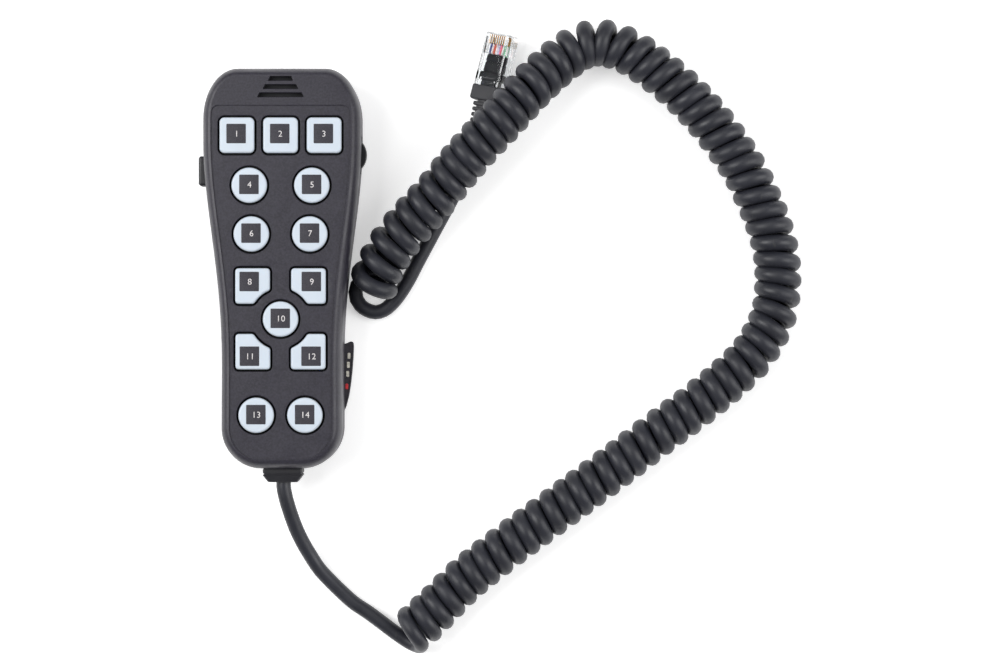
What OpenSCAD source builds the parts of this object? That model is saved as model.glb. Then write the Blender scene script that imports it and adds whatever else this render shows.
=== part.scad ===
// Hand controller microphone with a keypad, a talk button, a gain wheel,
// a curly cord and an eight-way modular plug. Millimetres.
// +Z points out of the front face, +Y to the top of the handset.
// The back lies in the plane z = 0, and the origin is the middle of the back.

/* [Handset] */
// Length of the handset from top to bottom
handset_length = 157; // [155:1:159]
// Width of the handset beside the top row of keys
handset_width = 61.8; // [61:0.2:62.6]
// Width of the handset at its waist
waist_width = 47.2; // [46:0.2:48]
// Thickness from the flat back to the front rim
handset_thick = 27; // [26.5:0.25:27.5]
// Height of the top edge of the rear shell
seam_z = 13; // [12.8:0.1:13.2]
// Wall thickness of both shells
wall = 2.2; // [2:0.1:2.4]
// Depth of the keypad recess in the front face
recess_depth = 0.5; // [0.3:0.1:0.8]

/* [Keys] */
// Height of the key tops above the back
key_top_z = 28; // [27.6:0.1:28.4]
// Travel of a key
key_travel = 1.2; // [0.8:0.1:1.4]
// Radius of the round keys
round_key_r = 6.9; // [6.5:0.1:7.1]
// Gap between a key and the front shell
key_gap = 0.8; // [0.6:0.1:0.9]

/* [Side controls] */
// How far the talk button reaches from the middle of the handset
button_reach = 33.5; // [33:0.5:34]
// Length of the talk button along the handset
button_length = 11.8; // [11:0.2:12.6]
// Travel of the talk button
button_travel = 1.2; // [0.8:0.1:1.2]
// Radius of the gain wheel
wheel_r = 8; // [7.8:0.1:8.2]
// Thickness of the gain wheel
wheel_thick = 4; // [3.5:0.1:4.2]

/* [Cord] */
// Diameter of the cord
cord_d = 5.8; // [5.5:0.1:6]
// Outer diameter of the curly part of the cord
coil_d = 19.2; // [18:0.2:19.2]
// Width of the cable gland
gland_width = 15.6; // [14:0.2:16]

/* [Plug] */
// Width of the modular plug
plug_width = 11.68; // [11.6:0.01:11.8]
// Length of the modular plug
plug_length = 21.46; // [21.2:0.01:21.6]
// Height of the modular plug without its latch
plug_height = 6.6; // [6.5:0.05:6.7]

/* [Hidden] */
$fn = 48;

// Names of the key nodes, key_1 to key_14
key_nodes = [for (i = [1:14]) str("key_", i)];

// Colours
black_plastic = [0.10, 0.10, 0.11];
dark_rubber = [0.06, 0.06, 0.07];
key_white = [0.90, 0.93, 0.95];
board_green = [0.05, 0.30, 0.16];
steel = [0.70, 0.70, 0.72];
brass = [0.80, 0.62, 0.28];
gold = [0.90, 0.70, 0.30];
clear = [0.85, 0.90, 0.92, 0.4];
wire_colours = ["white", "orange", "white", "blue", "white", "green", "white", "saddlebrown"];

// Small amount by which a cutting shape runs past a face
past = 1;

// Handset outline. The top and bottom corners are quarter ellipses, and
// between them the side narrows smoothly to the waist.
half_length = handset_length / 2;
top_corner = [13.7, 20];
bottom_corner = [15.8, 16];
hip_swell = 0.1;
taper_low_y = -40;
taper_high_y = 50;
taper_power = 1.2;

function smooth(t) = let (c = max(0, min(1, t))) c * c * (3 - 2 * c);
function taper(y) = smooth(pow(max(0, y - taper_low_y) / (taper_high_y - taper_low_y), taper_power));
function side_x(y) = waist_width / 2
    + (handset_width - waist_width) / 2 * taper(y)
    + hip_swell * smooth((taper_low_y - y) / 18);
function right_side(inset) = concat(
    [for (a = [90:-15:0])
        [handset_width / 2 - top_corner.x + (top_corner.x - inset) * cos(a),
         half_length - top_corner.y + (top_corner.y - inset) * sin(a)]],
    [for (y = [46:-12:-50]) [side_x(y) - inset, y]],
    [for (a = [0:-18:-90])
        [side_x(-half_length) - bottom_corner.x + (bottom_corner.x - inset) * cos(a),
         bottom_corner.y - half_length + (bottom_corner.y - inset) * sin(a)]]
);
function outline(inset) = let (side = right_side(inset)) concat(
    side,
    [for (i = [len(side) - 1:-1:0]) [-side[i].x, side[i].y]]
);

// A closed solid through rings, each [height, inset from the outline]
module loft(rings) {
    count = len(outline(0));
    layers = len(rings);
    points = [for (ring = rings) for (p = outline(ring[1])) [p.x, p.y, ring[0]]];
    bottom = [for (i = [count - 1:-1:0]) i];
    top = [for (i = [0:count - 1]) i + (layers - 1) * count];
    sides = [for (j = [0:layers - 2]) for (i = [0:count - 1]) let (k = (i + 1) % count)
        [k + j * count, k + (j + 1) * count, i + (j + 1) * count, i + j * count]];
    polyhedron(points, concat([bottom, top], sides));
}
module slab(z, height, inset) {
    translate([0, 0, z]) linear_extrude(height) polygon(outline(inset));
}

// Rounded edges of the two shells, as quarter ellipses [inwards, in height]
front_edge = [3.6, 7];
rear_edge = [4, 6];
edge_steps = 5;
seal_thick = 0.5;
front_z = seam_z + seal_thick;
front_floor_z = handset_thick - 2.7;
function edge_inset(edge, a) = edge.x * (1 - cos(a));
front_rings = concat(
    [[front_z, 0]],
    [for (i = [0:edge_steps]) let (a = 90 * i / edge_steps)
        [handset_thick - front_edge.y * (1 - sin(a)), edge_inset(front_edge, a)]]
);
rear_rings = concat(
    [for (i = [edge_steps:-1:0]) let (a = 90 * i / edge_steps)
        [rear_edge.y * (1 - sin(a)), edge_inset(rear_edge, a)]],
    [[seam_z, 0]]
);

// Keys: [x, y, shape]. A corner key is a square key with a round bite
// taken out of the corner next to the middle key.
KEYS = [
    [-17, 51.8, "square"], [0, 51.8, "square"], [17, 51.8, "square"],
    [-12.2, 32.3, "round"], [12.2, 32.3, "round"],
    [-11.4, 13.3, "round"], [11.4, 13.3, "round"],
    [-10.9, -7, "corner"], [10.9, -7, "corner"],
    [0, -19.9, "round"],
    [-10.8, -32.6, "corner"], [10.8, -32.6, "corner"],
    [-9.5, -57.4, "round"], [9.5, -57.4, "round"]
];
middle_key = [0, -19.9];
square_key = [13.5, 13.9];
square_key_corner = 1.9;
bitten_key_corner = 1;
bite_r = 12;
flange_grow = 1.4;
flange_z = [22.6, 23.9];
stem_r = 2.4;

function rounded_square(size, r) = [for (c = [[1, 1, 0], [-1, 1, 90], [-1, -1, 180], [1, -1, 270]])
    for (a = [0:22.5:90])
        [c[0] * (size.x / 2 - r) + r * cos(a + c[2]), c[1] * (size.y / 2 - r) + r * sin(a + c[2])]];
module key_outline(key, grow) {
    translate([key[0], key[1]]) {
        if (key[2] == "round") {
            circle(round_key_r + grow);
        } else {
            corner = key[2] == "square" ? square_key_corner : bitten_key_corner;
            polygon(rounded_square(square_key + [2 * grow, 2 * grow], corner + grow));
        }
    }
}
module key_shape(key, grow) {
    difference() {
        key_outline(key, grow);
        if (key[2] == "corner") translate(middle_key) circle(bite_r - grow);
    }
}

// Heights inside the handset
board_z = 15.4;
board_thick = 1.6;
board_top = board_z + board_thick;
mat_thick = 1.2;
dome_height = 0.5;
stem_z = board_top + dome_height + key_travel + 0.1;
board_end_y = -64;

// Fastener places
case_posts = [[-21, 66], [21, 66], [-17, -67], [17, -67]];
board_posts = [[0, 23], [0, -46], [-22.5, 20], [22.5, 20]];
post_r = 3.2;
case_screw_r = 1.2;
board_post_r = 2.1;
board_screw_r = 0.8;

// Keypad recess in the front face
recess_inset = 3.7;
recess_top_y = 63.5;
recess_bottom_y = -75;

// Microphone behind the three slots: [y, length]
mic_slots = [[74, 9.8], [70.8, 13.9], [67.6, 18.2]];
slot_height = 1.7;
mic_y = 69.4;
mic_r = 4.85;
mic_boot_r = 5.9;

// Talk button in the left side
button_y = 38.7;
button_z = [6.4, 15];
button_flange_x = -26.6;
button_gap = 0.3;
switch_x = [-22.6, -16.5];

// Gain wheel in the right side
wheel_reach = 32.9;
wheel_place = [wheel_reach - wheel_r, 45.2];
wheel_z = 8.6;
wheel_teeth = 90;
tooth_depth = 0.25;
wheel_relief_r = [3.4, 5.8];
wheel_slot_half = 7.5;
shaft_r = 2;
shaft_play = 0.06;
pot_r = 3.5;
pot_z = 13.2;

// Badge plate on the right side: height and half thickness
badge_z = [4.2, 6];
badge_points = [[18, -29.6], [24, -29.6], [26, -28.6], [26.8, -28.5], [27.3, -29.3], [27.4, -30.6],
                [27.2, -35], [26.8, -40.4], [26.2, -45.8], [25.5, -50.2], [24.4, -54.5], [23.2, -57.2],
                [18, -57.2]];

// Hang-up insert in the back
insert_y = 35;
insert_r = 2.8;
insert_bore_r = 1.65;
insert_length = 6;

// Cable gland and the clamp behind it
cord_r = cord_d / 2;
cord_z = 13.25;
gland_length = 5.6;
gland_height = 11.6;
gland_neck_r = 5;
gland_play = 0.15;
gland_flange_r = 6.3;
gland_end_y = -half_length - gland_length;
clamp_y = [-71, -66];
clamp_mid_y = (clamp_y[0] + clamp_y[1]) / 2;
clamp_z = cord_z + cord_r;
clamp_thick = 1.6;
clamp_post_x = 6;
clamp_post_r = 2;
clamp_screw_z = 8;
inner_end_y = -64.5;
socket_pitch = 2;

// Cord route, straight out of the gland, down to the table and along it
lead_route = [
    [0, gland_end_y, cord_z], [0, -86, 13.25], [0.5, -89, 13], [1.3, -92.5, 12.3], [2.6, -97, 11],
    [4.4, -102.5, 9.2], [7, -108.5, 7.2], [10, -114, 5.4], [13.5, -119.5, 4.2], [17.5, -124, 3.4],
    [22, -128.5, 3], [27, -133, 2.9], [33.5, -137.4, 2.9], [39, -141.5, 2.9], [44.5, -145.6, 2.9],
    [49, -148.6, 3.2]
];
// Middle line of the curly part, which rises over the tail and the plug's boot
coil_route = [
    [50, -144.2, 9.6], [58.2, -136.7, 9.6], [71.7, -123.2, 9.6], [86.7, -111.2, 9.6], [102.2, -99.7, 9.6],
    [117.2, -88.7, 9.6], [132.7, -77.2, 9.6], [147.7, -65.7, 9.6], [163.2, -54.2, 9.6], [177.7, -42.2, 9.6],
    [184.8, -35.2, 9.6], [190.3, -27, 9.6], [194.3, -18, 9.6], [195.8, -8, 9.6], [195.8, 1.5, 9.6],
    [194.3, 11, 9.6], [191.5, 20, 9.6], [188, 28.5, 9.6], [184, 37, 9.6], [173.5, 53, 9.6],
    [161, 67.5, 9.6], [154, 74, 9.6], [146.5, 80, 9.6], [138.5, 85.5, 9.6], [132, 88.5, 9.6],
    [125, 90, 9.7], [118, 88.5, 10.2], [111.6, 84.3, 11.7], [104.4, 78.1, 14.4], [95.5, 69, 18.2],
    [86.7, 59, 19.8], [77.6, 49.5, 19.3], [68.9, 39.7, 17.3], [60.3, 29.3, 15], [51.2, 19.4, 12.8],
    [42.7, 9, 11.3], [39, 2.6, 11.2], [36.7, -2.2, 11.4], [35.2, -7.2, 11.6]
];
// The tail turns back round the end of the coil and passes under it
tail_route = [
    [40.4, -8.2, 6.6], [38, -6.5, 4], [35.2, -4.6, 3], [32.7, -3.8, 2.9], [30.2, -4.4, 2.9],
    [28.4, -6.3, 2.9], [27.8, -9, 2.9], [28.3, -11.8, 2.9], [29.8, -14.2, 2.9], [32.3, -16, 2.9],
    [35.8, -17, 2.9], [39, -16.2, 2.9], [41.7, -14.2, 2.9], [44.2, -11.4, 2.9], [46.2, -8.6, 2.9],
    [49, -4, 2.9], [52.4, 2.6, 2.9], [56.2, 9.7, 2.9], [60.1, 17, 2.9], [63.6, 23.4, 2.9],
    [66.6, 29, 2.9], [69.5, 35.2, 2.9], [71.9, 40.8, 3.2], [74, 45.8, 4.3], [75.6, 49.8, 5.9],
    [76.83, 53.48, 6.8], [77.39, 55.71, 6.8]
];
coil_sides = 12;
cord_sides = 8;

// Place of the plug: it lies on its latch, rolled over to one side
plug_place = [81.6, 72.6, 6.8];
plug_turn = -14;
plug_roll = -34;
boot_hood = [12.2, 5.2, 8];
boot_hood_y = -4.8;
boot_length = 17.4;
boot_rib_pitch = 2.4;
contact_pitch = 1.02;
contact_count = 8;
contact_y = [17, 20.6];
wire_d = 0.96;
jacket_points = [[-3.3, -3.6], [3.3, -3.6], [4.3, 0.6], [4.3, 7], [3.4, 13], [-3.4, 13], [-4.3, 7],
                 [-4.3, 0.6]];
jacket_half = 2.1;
latch_root = [19.6, -3.95];
latch_angle = 4.6;
latch_length = 15.6;
latch_r = 0.5;
module at_plug() {
    translate(plug_place) rotate([0, 0, plug_turn]) rotate([0, plug_roll, 0]) children();
}

// A tube of radius r swept through the points of a route
function unit(v) = v / norm(v);
function heading(route, i) = unit(route[min(i + 1, len(route) - 1)] - route[max(i - 1, 0)]);
function tube_ring(route, i, r, sides) =
    let (ahead = heading(route, i), right = unit(cross(ahead, [0, 0, 1])), up = cross(right, ahead))
    [for (k = [0:sides - 1]) route[i] + r * (cos(360 * k / sides) * right + sin(360 * k / sides) * up)];
module tube(route, r, sides) {
    last = len(route) - 1;
    points = [for (i = [0:last]) for (p = tube_ring(route, i, r, sides)) p];
    start = [for (k = [sides - 1:-1:0]) k];
    end = [for (k = [0:sides - 1]) k + last * sides];
    walls = [for (j = [0:last - 1]) for (k = [0:sides - 1]) let (m = (k + 1) % sides)
        [j * sides + k, j * sides + m, (j + 1) * sides + m, (j + 1) * sides + k]];
    polyhedron(points, concat([start, end], walls));
}
// A cylinder along Y from y0 to y1
module rod_y(x, z, y0, y1, r) {
    translate([x, y1, z]) rotate([90, 0, 0]) cylinder(y1 - y0, r, r);
}

// Openings that both shells and the seal share
module button_window() {
    translate([-button_reach - past, button_y - button_length / 2 - button_gap, button_z[0] - button_gap])
        cube([12, button_length + 2 * button_gap, button_z[1] - button_z[0] + 2 * button_gap]);
}
module gland_window() {
    rod_y(0, cord_z, -half_length - past, 3 - half_length, gland_neck_r + gland_play);
}
module slot_outline(length) {
    lean = slot_height / 2;
    polygon([[-length / 2 + lean, slot_height / 2], [length / 2 - lean, slot_height / 2],
             [length / 2, -slot_height / 2], [-length / 2, -slot_height / 2]]);
}

module front_case() {
    color(black_plastic) {
        difference() {
            loft(front_rings);
            slab(front_z - past, front_floor_z - front_z + past, wall);
            intersection() {
                slab(handset_thick - recess_depth, recess_depth + past, recess_inset);
                translate([-50, recess_bottom_y, handset_thick - recess_depth])
                    cube([100, recess_top_y - recess_bottom_y, recess_depth + past]);
            }
            translate([0, 0, front_floor_z - past]) linear_extrude(6) {
                for (key = KEYS) key_shape(key, key_gap);
                for (slot = mic_slots) translate([0, slot[0]]) slot_outline(slot[1]);
            }
            button_window();
            gland_window();
        }
        for (place = case_posts) front_post(place, post_r, case_screw_r, front_z);
        for (place = board_posts) front_post(place, board_post_r, board_screw_r, board_top);
    }
}
module front_post(place, r, bore_r, z) {
    translate([place.x, place.y, z]) difference() {
        cylinder(front_floor_z - z + 0.2, r, r);
        translate([0, 0, -past]) cylinder(7.5 + past, bore_r, bore_r);
    }
}

module rear_case() {
    color(black_plastic) difference() {
        union() {
            difference() {
                loft(rear_rings);
                slab(wall, seam_z, wall);
                button_window();
                gland_window();
                wheel_slot();
                badge_plate(badge_z[0], badge_z[1] - badge_z[0]);
            }
            for (place = case_posts) translate([place.x, place.y, 0.5]) {
                cylinder(seam_z - 0.5, post_r, post_r);
            }
            translate([0, insert_y, 0.5]) cylinder(8, 4.6, 4.6);
            at_clamp_posts(wall - 0.2) cylinder(clamp_z - wall + 0.2, clamp_post_r, clamp_post_r);
        }
        for (place = case_posts) translate([place.x, place.y, -past]) {
            cylinder(seam_z + 2 * past, 1.5, 1.5);
            cylinder(3 + past, 2.8, 2.8);
        }
        translate([0, insert_y, -past]) cylinder(insert_length + past + 0.3, insert_r, insert_r);
        at_clamp_posts(clamp_screw_z) cylinder(clamp_z, board_screw_r, board_screw_r);
    }
}
module at_clamp_posts(z) {
    for (x = [-clamp_post_x, clamp_post_x]) translate([x, clamp_mid_y, z]) children();
}
module wheel_slot() {
    translate([wheel_place.x, wheel_place.y - wheel_slot_half, wheel_z - 0.5])
        cube([20, 2 * wheel_slot_half, seam_z]);
}
module badge_plate(z, height) {
    translate([0, 0, z]) linear_extrude(height) difference() {
        polygon(badge_points);
        polygon(outline(0.8));
    }
}

module case_seal() {
    color(dark_rubber) difference() {
        slab(seam_z, seal_thick, 0.3);
        slab(seam_z - past, seal_thick + 2 * past, wall - 0.4);
        button_window();
        gland_window();
    }
}
module case_screws() {
    color(steel) for (place = case_posts) translate([place.x, place.y, 0]) {
        translate([0, 0, 1.4]) difference() {
            cylinder(1.6, 2.4, 2.4);
            translate([-0.3, -1.6, -past]) cube([0.6, 3.2, past + 0.6]);
            translate([-1.6, -0.3, -past]) cube([3.2, 0.6, past + 0.6]);
        }
        translate([0, 0, 3]) cylinder(17, case_screw_r, case_screw_r);
    }
}
module hanger_insert() {
    color(brass) translate([0, insert_y, 0.3]) difference() {
        cylinder(insert_length, insert_r, insert_r);
        translate([0, 0, -past]) cylinder(insert_length + 2 * past, insert_bore_r, insert_bore_r);
    }
}
module side_badge() {
    color(black_plastic) badge_plate(badge_z[0], badge_z[1] - badge_z[0]);
}

module key(i) {
    color(key_white) {
        translate([0, 0, flange_z[1]]) linear_extrude(key_top_z - flange_z[1]) key_shape(KEYS[i], 0);
        translate([0, 0, flange_z[0]]) linear_extrude(flange_z[1] - flange_z[0]) {
            key_shape(KEYS[i], flange_grow);
        }
        translate([KEYS[i][0], KEYS[i][1], stem_z]) cylinder(flange_z[0] - stem_z, stem_r, stem_r);
    }
}
led_places = [[0, 4.5], [0, -7], [0, -30.6], [0, -38.5], [-20.5, 40.5], [20.5, 40.5], [0, 36], [0, 14]];
module keypad_mat() {
    color([0.78, 0.80, 0.82]) translate([0, 0, board_top]) linear_extrude(mat_thick) difference() {
        intersection() {
            polygon(outline(5.2));
            translate([-50, board_end_y + 0.6]) square([100, 61 - board_end_y]);
        }
        for (key = KEYS) translate([key[0], key[1]]) circle(4.6);
        for (place = board_posts) translate(place) circle(2.7);
        for (place = case_posts) translate(place) circle(3.8);
        for (place = led_places) translate(place) circle(1.5);
    }
}
module key_domes() {
    color(steel) for (key = KEYS) translate([key[0], key[1], board_top]) {
        cylinder(0.25, 3.2, 3.2);
        translate([0, 0, 0.25]) cylinder(dome_height - 0.25, 2.2, 2.2);
    }
}
module circuit_board() {
    color(board_green) translate([0, 0, board_z]) linear_extrude(board_thick) difference() {
        intersection() {
            polygon(outline(2.6));
            translate([-50, board_end_y]) square([100, 200]);
        }
        for (place = board_posts) translate(place) circle(1);
        for (place = case_posts) translate(place) circle(post_r + 0.3);
    }
}
module board_screws() {
    color(steel) for (place = board_posts) translate([place.x, place.y, board_z]) {
        translate([0, 0, -1.2]) cylinder(1.2, 1.8, 1.8);
        cylinder(7, board_screw_r, board_screw_r);
    }
}
module controller_chip() {
    color(dark_rubber) {
        translate([-5, -20, board_z - 1.5]) cube([10, 10, 1.3]);
        for (side = [-1, 1]) for (i = [-5:5]) {
            translate([side * 5.4 - 0.5, -15 + i * 0.8 - 0.15, board_z - 0.9]) cube([1, 0.3, 0.9]);
        }
    }
}
module backlight_leds() {
    color(key_white) for (place = led_places) translate([place.x - 0.8, place.y - 0.4, board_top]) {
        cube([1.6, 0.8, 0.6]);
    }
}
module board_socket() {
    color("ivory") difference() {
        translate([-9, -56, board_z - 4.4]) cube([18, 6, 4.4]);
        for (i = [0:contact_count - 1]) {
            translate([(i - 3.5) * socket_pitch - 0.6, -56 - past, cord_z - 0.6]) cube([1.2, 3 + past, 1.2]);
        }
    }
}

module mic_capsule() {
    color(steel) translate([0, mic_y, board_top + 0.6]) difference() {
        cylinder(6.1, mic_r, mic_r);
        for (a = [0:60:300]) rotate([0, 0, a]) translate([2, 0, 5.1]) cylinder(2, 0.5, 0.5);
    }
}
module mic_boot() {
    color(dark_rubber) translate([0, mic_y, board_top]) difference() {
        cylinder(6.9, mic_boot_r, mic_boot_r);
        translate([0, 0, 0.6]) cylinder(7, mic_r, mic_r);
        translate([0, 0, -past]) cylinder(2 * past, 2.2, 2.2);
    }
}
module mic_mesh() {
    color([0.16, 0.16, 0.17]) translate([0, mic_y + 1.4, board_top + 6.9]) {
        linear_extrude(front_floor_z - board_top - 6.9) {
            polygon([[-10, -4.6], [10, -4.6], [6, 4.4], [-6, 4.4]]);
        }
    }
}
module mic_leads() {
    color(gold) for (x = [-1.2, 1.2]) translate([x, mic_y, board_top]) cylinder(0.6, 0.3, 0.3);
}

module talk_button() {
    color(black_plastic) {
        translate([-button_reach, button_y - button_length / 2, button_z[0]])
            cube([button_reach + button_flange_x, button_length, button_z[1] - button_z[0]]);
        translate([button_flange_x, button_y - button_length / 2 - 1.4, button_z[0] - 1])
            cube([1.2, button_length + 2.8, button_z[1] - button_z[0] + 1.1]);
        translate([button_flange_x + 1.2, button_y, 13]) rotate([0, 90, 0]) cylinder(1, 1.6, 1.6);
    }
}
module talk_plunger() {
    color("ivory") translate([button_flange_x + 2.2, button_y, 13]) rotate([0, 90, 0]) cylinder(3, 1, 1);
}
module talk_switch() {
    color(dark_rubber) difference() {
        translate([switch_x[0], button_y - 3, board_z - 4.8]) cube([switch_x[1] - switch_x[0], 6, 4.8]);
        translate([switch_x[0] - past, button_y, 13]) rotate([0, 90, 0]) cylinder(past + 3.4, 1.08, 1.08);
    }
}

module gain_wheel() {
    color(black_plastic) translate([wheel_place.x, wheel_place.y, wheel_z]) difference() {
        linear_extrude(wheel_thick) polygon([for (i = [0:2 * wheel_teeth - 1])
            let (r = wheel_r - (i % 2) * tooth_depth, a = 180 * i / wheel_teeth) [r * cos(a), r * sin(a)]]);
        translate([0, 0, -past]) cylinder(wheel_thick + 2 * past, shaft_r, shaft_r);
        translate([0, 0, -past]) difference() {
            cylinder(past + 1, wheel_relief_r[1], wheel_relief_r[1]);
            cylinder(past + 1, wheel_relief_r[0], wheel_relief_r[0]);
        }
    }
}
module gain_shaft() {
    color(brass) translate([wheel_place.x, wheel_place.y, wheel_z]) difference() {
        cylinder(pot_z + 1.4 - wheel_z, shaft_r, shaft_r);
        translate([0, 0, -past]) cylinder(3 + past, 0.8, 0.8);
    }
}
module wheel_screw() {
    color(steel) translate([wheel_place.x, wheel_place.y, wheel_z]) {
        translate([0, 0, -0.9]) difference() {
            cylinder(0.9, 2.6, 2.6);
            translate([-0.3, -1.8, -past]) cube([0.6, 3.6, past + 0.5]);
        }
        cylinder(3, 0.8, 0.8);
    }
}
module gain_pot() {
    color([0.35, 0.36, 0.38]) translate([wheel_place.x, wheel_place.y, pot_z]) difference() {
        cylinder(board_z - pot_z, pot_r, pot_r);
        translate([0, 0, -past]) cylinder(past + 1.6, shaft_r + shaft_play, shaft_r + shaft_play);
    }
}

module cable_gland() {
    chamfer = 2.2;
    color(dark_rubber) difference() {
        union() {
            translate([0, 0, cord_z - gland_height / 2]) linear_extrude(gland_height) polygon([
                [-gland_width / 2, -half_length], [gland_width / 2, -half_length],
                [gland_width / 2, gland_end_y + chamfer + 0.8], [gland_width / 2 - chamfer, gland_end_y],
                [chamfer - gland_width / 2, gland_end_y], [-gland_width / 2, gland_end_y + chamfer + 0.8]
            ]);
            rod_y(0, cord_z, -half_length, wall - half_length, gland_neck_r);
            rod_y(0, cord_z, wall - half_length, wall + 1.5 - half_length, gland_flange_r);
        }
        rod_y(0, cord_z, gland_end_y - past, 5 - half_length, cord_r);
    }
}
module cord_inner_end() {
    color(dark_rubber) rod_y(0, cord_z, gland_end_y, inner_end_y, cord_r);
}
module cord_clamp() {
    color(steel) difference() {
        translate([-8.4, clamp_y[0], clamp_z]) cube([16.8, clamp_y[1] - clamp_y[0], clamp_thick]);
        at_clamp_posts(clamp_z - past) cylinder(clamp_thick + 2 * past, board_screw_r, board_screw_r);
    }
}
module clamp_screws() {
    shank_z = clamp_screw_z + 1;
    color(steel) {
        at_clamp_posts(clamp_z + clamp_thick) cylinder(1.2, 1.7, 1.7);
        at_clamp_posts(shank_z) cylinder(clamp_z + clamp_thick - shank_z, board_screw_r, board_screw_r);
    }
}
module inner_wires() {
    wire_r = 0.5;
    for (i = [0:contact_count - 1]) {
        start = [(i - 3.5) * 0.56, inner_end_y, cord_z + (i % 2 - 0.5) * 1.3];
        finish = [(i - 3.5) * socket_pitch, -53.2, cord_z];
        color(wire_colours[i]) tube([
            start, start + [0, 1.5, 0], start + (finish - start) * 0.45, finish - [0, 3.2, 0], finish
        ], wire_r, cord_sides);
    }
}

module cord_lead() {
    color(dark_rubber) tube(lead_route, cord_r, cord_sides);
}
module cord_coil() {
    color(dark_rubber) tube(coil_route, coil_d / 2, coil_sides);
}
module cord_tail() {
    color(dark_rubber) tube(tail_route, cord_r, cord_sides);
}

module plug_cavity() {
    translate([-4.6, -past, -2.3]) cube([9.2, 13.2 + past, 4.6]);
    translate([-4.15, 13, -0.55]) cube([8.3, 4.4, 1.1]);
    for (i = [0:contact_count - 1]) {
        translate([(i - 3.5) * contact_pitch - 0.2, contact_y[0], -0.2])
            cube([0.4, contact_y[1] - contact_y[0], 5]);
    }
}
module plug_body() {
    color(clear) at_plug() difference() {
        translate([-plug_width / 2, 0, -plug_height / 2]) cube([plug_width, plug_length, plug_height]);
        plug_cavity();
    }
}
module plug_contacts() {
    color(gold) at_plug() for (i = [0:contact_count - 1]) {
        translate([(i - 3.5) * contact_pitch - 0.2, contact_y[0], -0.2])
            cube([0.4, contact_y[1] - contact_y[0], plug_height / 2 - 0.1]);
    }
}
module plug_wires() {
    at_plug() for (i = [0:contact_count - 1]) {
        color(wire_colours[i]) rod_y((i - 3.5) * contact_pitch, 0, 13, 17.4, wire_d / 2);
    }
}
module plug_jacket() {
    color(dark_rubber) at_plug() jacket_shape();
}
module jacket_shape() {
    translate([0, 0, -jacket_half]) linear_extrude(2 * jacket_half) polygon(jacket_points);
}
module plug_boot() {
    ribs = [for (i = [0:4]) boot_hood_y - 1.4 - boot_rib_pitch * i];
    color(dark_rubber) at_plug() difference() {
        union() {
            translate([-boot_hood.x / 2, boot_hood_y, -boot_hood.z / 2]) cube(boot_hood);
            rod_y(0, 0, -boot_length, boot_hood_y, 3.1);
            for (y = ribs) rod_y(0, 0, y - 1.2, y, 3.9 + (y - boot_hood_y) * 0.05);
        }
        translate([-plug_width / 2, 0, -plug_height / 2]) cube([plug_width, 5, plug_height]);
        jacket_shape();
    }
}
module plug_latch() {
    color(clear) at_plug() translate([0, latch_root[0], latch_root[1]]) {
        rotate([0, 90, 0]) translate([0, 0, -3]) cylinder(6, latch_r, latch_r);
        rotate([latch_angle, 0, 0]) translate([-1.6, -latch_length, -0.45]) cube([3.2, latch_length, 0.75]);
        rotate([latch_angle, 0, 0]) translate([-3, -6, -0.45]) cube([6, 6, 0.75]);
    }
}

front_case();
rear_case();
case_seal();
case_screws();
hanger_insert();
side_badge();
for (i = [0:13]) key(i);
keypad_mat();
key_domes();
circuit_board();
board_screws();
controller_chip();
backlight_leds();
board_socket();
mic_capsule();
mic_boot();
mic_mesh();
mic_leads();
talk_button();
talk_plunger();
talk_switch();
gain_wheel();
gain_shaft();
wheel_screw();
gain_pot();
cable_gland();
cord_clamp();
clamp_screws();
cord_inner_end();
inner_wires();
cord_lead();
cord_coil();
cord_tail();
plug_boot();
plug_body();
plug_contacts();
plug_wires();
plug_jacket();
plug_latch();
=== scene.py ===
"""The looks of a hand controller microphone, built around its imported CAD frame.

Everything is in metres, in the frame of the CAD model: +Z points out of the front face, +Y to the top of
the handset, and the back lies in the plane z = 0.
"""

import math

import bmesh
import bpy
from mathutils import Matrix, Vector
from mathutils.geometry import tessellate_polygon


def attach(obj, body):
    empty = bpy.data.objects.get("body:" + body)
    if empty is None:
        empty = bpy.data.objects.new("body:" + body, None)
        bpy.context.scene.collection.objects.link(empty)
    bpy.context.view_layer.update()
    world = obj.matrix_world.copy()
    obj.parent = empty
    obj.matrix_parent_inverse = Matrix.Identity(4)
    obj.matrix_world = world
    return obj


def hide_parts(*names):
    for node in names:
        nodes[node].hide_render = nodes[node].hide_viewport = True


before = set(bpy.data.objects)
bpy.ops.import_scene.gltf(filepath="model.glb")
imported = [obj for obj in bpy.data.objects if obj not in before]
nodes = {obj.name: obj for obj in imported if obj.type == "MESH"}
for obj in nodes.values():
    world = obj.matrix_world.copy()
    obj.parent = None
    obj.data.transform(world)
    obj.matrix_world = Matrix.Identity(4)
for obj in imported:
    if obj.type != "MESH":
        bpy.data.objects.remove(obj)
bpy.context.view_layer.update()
scene = bpy.context.scene

MM = 0.001

# ---------------------------------------------------------------------------------------------------------
# Camera
# ---------------------------------------------------------------------------------------------------------
CAMERA_PLACE = (0.0856, -0.0255, 0.977)
LENS = 87.7

camera_data = bpy.data.cameras.new("camera")
camera_data.lens = LENS
camera_data.sensor_width = 36
camera = bpy.data.objects.new("camera", camera_data)
camera.location = CAMERA_PLACE
scene.collection.objects.link(camera)
scene.camera = camera

# ---------------------------------------------------------------------------------------------------------
# Cord: one curve from the gland, through the curly part, to the plug's boot
# ---------------------------------------------------------------------------------------------------------
CORD_D = 5.8 * MM
WOUND_CORD_D = 6.5 * MM
COIL_MEAN_R = 6.2 * MM
STEPS_PER_TURN = 24
CORD_STEP = 1.9 * MM
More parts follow.
